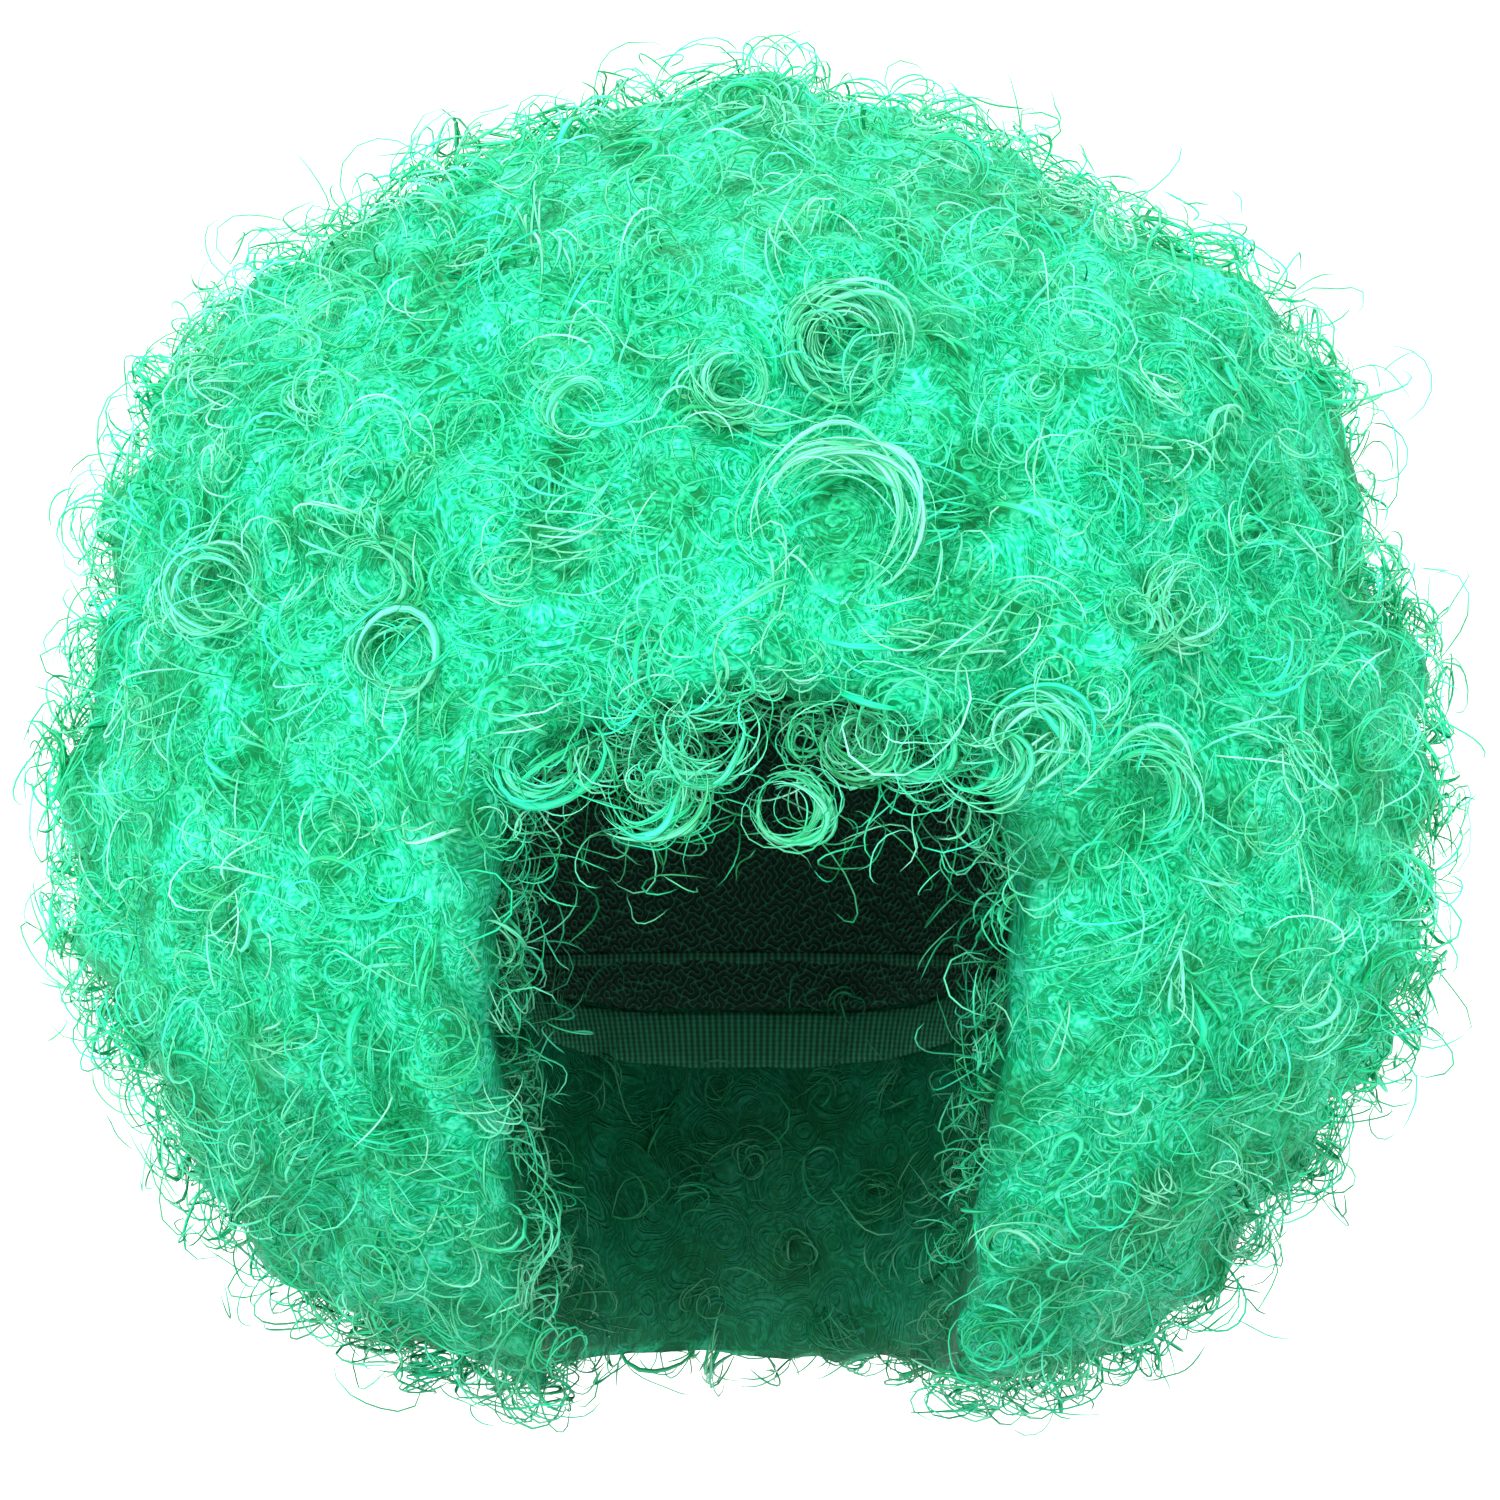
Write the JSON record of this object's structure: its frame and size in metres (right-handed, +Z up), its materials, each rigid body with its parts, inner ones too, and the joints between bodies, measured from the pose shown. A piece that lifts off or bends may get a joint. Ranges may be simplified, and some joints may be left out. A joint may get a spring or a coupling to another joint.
{
  "type": "afro wig",
  "caption": "Round costume wig of tight curls in rows on a stretch net cap, with an open face, a curly fringe and hair down to the neck.",
  "frame": {"origin": "crown of the hollow that takes a head, on the inside of the cap", "axes": "+Z up; the face opening looks along -Y; +X to the right of someone who faces the wig"},
  "size_m": [0.3252, 0.3081, 0.3113],
  "materials": {
    "hair_fibre": "glossy curled synthetic fibre, bright spring green",
    "net": "matt knitted stretch net",
    "elastic": "matt woven elastic"
  },
  "bodies": {
    "root": {"net_cap": "net", "edge_band": "elastic", "hair_crown": "hair_fibre", "hair_row_1": "hair_fibre", "hair_row_2": "hair_fibre", "hair_row_3": "hair_fibre", "hair_row_4": "hair_fibre", "hair_row_5": "hair_fibre", "hair_row_6": "hair_fibre", "fringe_curls": "hair_fibre"}
  },
  "joints": []
}
